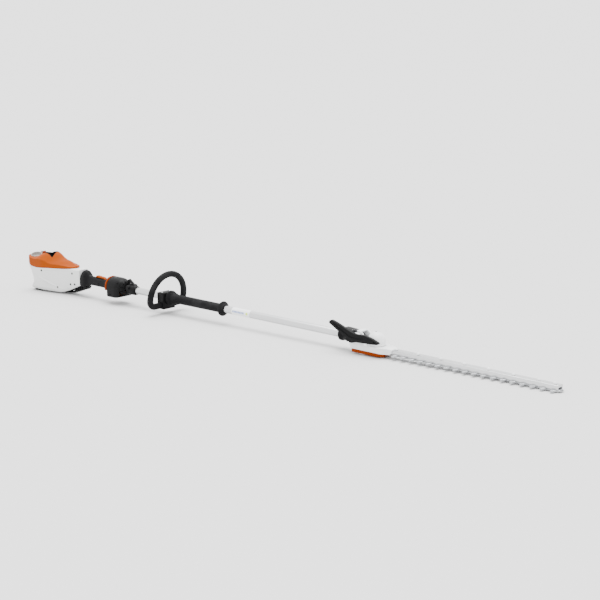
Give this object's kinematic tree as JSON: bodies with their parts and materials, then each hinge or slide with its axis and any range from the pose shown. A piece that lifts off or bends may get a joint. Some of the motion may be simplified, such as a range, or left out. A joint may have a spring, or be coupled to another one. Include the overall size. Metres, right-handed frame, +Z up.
{
  "type": "pole hedge trimmer",
  "caption": "Long-reach cordless hedge trimmer: powerhead with an open battery bay, slim drive tube with loop handle, and a tilting double-sided cutter bar.",
  "frame": {"origin": "on the ground plane under the middle of the machine's length, below the drive tube's axis", "axes": "+X runs along the drive tube towards the blade tip, +Z is up, and +Y is the operator's left"},
  "size_m": [2.56, 0.1968, 0.18],
  "materials": {
    "white_plastic": "light grey moulded plastic, fine texture",
    "orange_plastic": "bright orange moulded plastic",
    "grey_plastic": "mid grey moulded plastic",
    "black_plastic": "black glass-filled plastic, satin",
    "black_rubber": "soft black rubber",
    "tube_aluminium": "drawn aluminium, satin",
    "gearbox_paint": "light grey painted casting",
    "blade_steel": "ground tool steel",
    "dark_steel": "dark oiled steel",
    "copper_winding": "enamelled copper winding",
    "board_green": "circuit board"
  },
  "bodies": {
    "pole_unit": {"housing_shell_right": "white_plastic", "housing_shell_left": "white_plastic", "top_hood": "orange_plastic", "battery_well": "black_plastic", "grip_tray": "grey_plastic", "contact_block": "dark_steel", "controller_board": "board_green", "support_foot": "black_plastic", "rear_rest_pad": "black_rubber", "handle_shell_right": "black_plastic", "handle_shell_left": "black_plastic", "trigger_pin": "dark_steel", "trigger_switch": "grey_plastic", "damping_ring": "orange_plastic", "motor_shell_right": "black_plastic", "motor_shell_left": "black_plastic", "intake_grille": "black_plastic", "motor_stator": "copper_winding", "motor_bearing_rear": "blade_steel", "motor_bearing_front": "blade_steel", "drive_tube": "tube_aluminium", "shaft_bush_rear": "black_plastic", "shaft_bush_front": "black_plastic", "carrying_eye": "black_plastic", "loop_handle": "black_rubber", "loop_clamp": "black_plastic", "grip_hose": "black_rubber", "hose_end_disc": "black_rubber", "pivot_bracket": "gearbox_paint"},
    "battery_lock": {"battery_lock_lever": "orange_plastic"},
    "lockout": {"throttle_lockout": "orange_plastic"},
    "trigger_lever": {"trigger": "orange_plastic"},
    "lock": {"locking_sleeve": "black_plastic"},
    "drivetrain": {"motor_rotor": "dark_steel", "cooling_fan": "black_plastic", "shaft_coupling": "dark_steel", "drive_shaft": "dark_steel", "drive_pinion": "dark_steel"},
    "idler": {"idler_gear": "dark_steel"},
    "head": {"gearbox_housing": "gearbox_paint", "gearbox_dome": "gearbox_paint", "pivot_pin": "dark_steel", "locking_quadrant": "dark_steel", "adjusting_lever": "black_plastic", "guide_bar": "tube_aluminium", "wear_plate": "orange_plastic", "blade_bolt_1": "dark_steel", "blade_bolt_2": "dark_steel", "blade_bolt_3": "dark_steel", "blade_bolt_4": "dark_steel", "blade_bolt_5": "dark_steel", "blade_bolt_6": "dark_steel", "blade_bolt_7": "dark_steel", "blade_bolt_8": "dark_steel"},
    "head_spindle": {"head_shaft": "dark_steel"},
    "crank": {"crank_gear": "dark_steel"},
    "upper_cutter": {"upper_blade": "blade_steel", "upper_yoke": "dark_steel"},
    "lower_cutter": {"lower_blade": "blade_steel", "lower_yoke": "dark_steel"}
  },
  "joints": [
    {"name": "head_tilt", "type": "hinge", "parent": "pole_unit", "child": "head", "pos_m": [0.523, 0, 0.075], "axis": [0, 1, 0], "range_deg": [-55, 90]},
    {"name": "lock_slide", "type": "slide", "parent": "pole_unit", "child": "lock", "axis": [1, 0, 0], "range_m": [-0.006, 0.0035], "stiffness_N_per_m": 800},
    {"name": "trigger_squeeze", "type": "hinge", "parent": "pole_unit", "child": "trigger_lever", "pos_m": [-0.7745, 0, 0.0515], "axis": [0, 1, 0], "range_deg": [0, 12], "stiffness_Nm_per_rad": 1},
    {"name": "lockout_press", "type": "hinge", "parent": "pole_unit", "child": "lockout", "pos_m": [-0.818, 0, 0.092], "axis": [0, 1, 0], "range_deg": [-8, 0], "stiffness_Nm_per_rad": 0.6},
    {"name": "battery_lock_tip", "type": "hinge", "parent": "pole_unit", "child": "battery_lock", "pos_m": [-1.228, 0, 0.149], "axis": [0, 1, 0], "range_deg": [-20, 0], "stiffness_Nm_per_rad": 0.6},
    {"name": "motor_spin", "type": "hinge", "parent": "pole_unit", "child": "drivetrain", "pos_m": [-0.732, 0, 0.075], "axis": [1, 0, 0], "continuous": true},
    {"name": "idler_spin", "type": "hinge", "parent": "pole_unit", "child": "idler", "pos_m": [0.523, 0, 0.075], "axis": [0, 1, 0], "continuous": true},
    {"name": "head_shaft_spin", "type": "hinge", "parent": "head", "child": "head_spindle", "pos_m": [0.56, 0, 0.075], "axis": [1, 0, 0], "continuous": true},
    {"name": "crank_spin", "type": "hinge", "parent": "head", "child": "crank", "pos_m": [0.586, 0, 0.075], "axis": [0, 0, 1], "continuous": true},
    {"name": "upper_blade_stroke", "type": "slide", "parent": "head", "child": "upper_cutter", "axis": [1, 0, 0], "range_m": [-0.0085, 0.0085]},
    {"name": "lower_blade_stroke", "type": "slide", "parent": "head", "child": "lower_cutter", "axis": [1, 0, 0], "range_m": [-0.0085, 0.0085]}
  ],
  "couplings": [
    {"joint": "idler_spin", "follows": "motor_spin", "ratio": 1},
    {"joint": "head_shaft_spin", "follows": "motor_spin", "ratio": -1},
    {"joint": "crank_spin", "follows": "motor_spin", "ratio": 0.33333},
    {"joint": "lower_blade_stroke", "follows": "upper_blade_stroke", "ratio": -1}
  ]
}
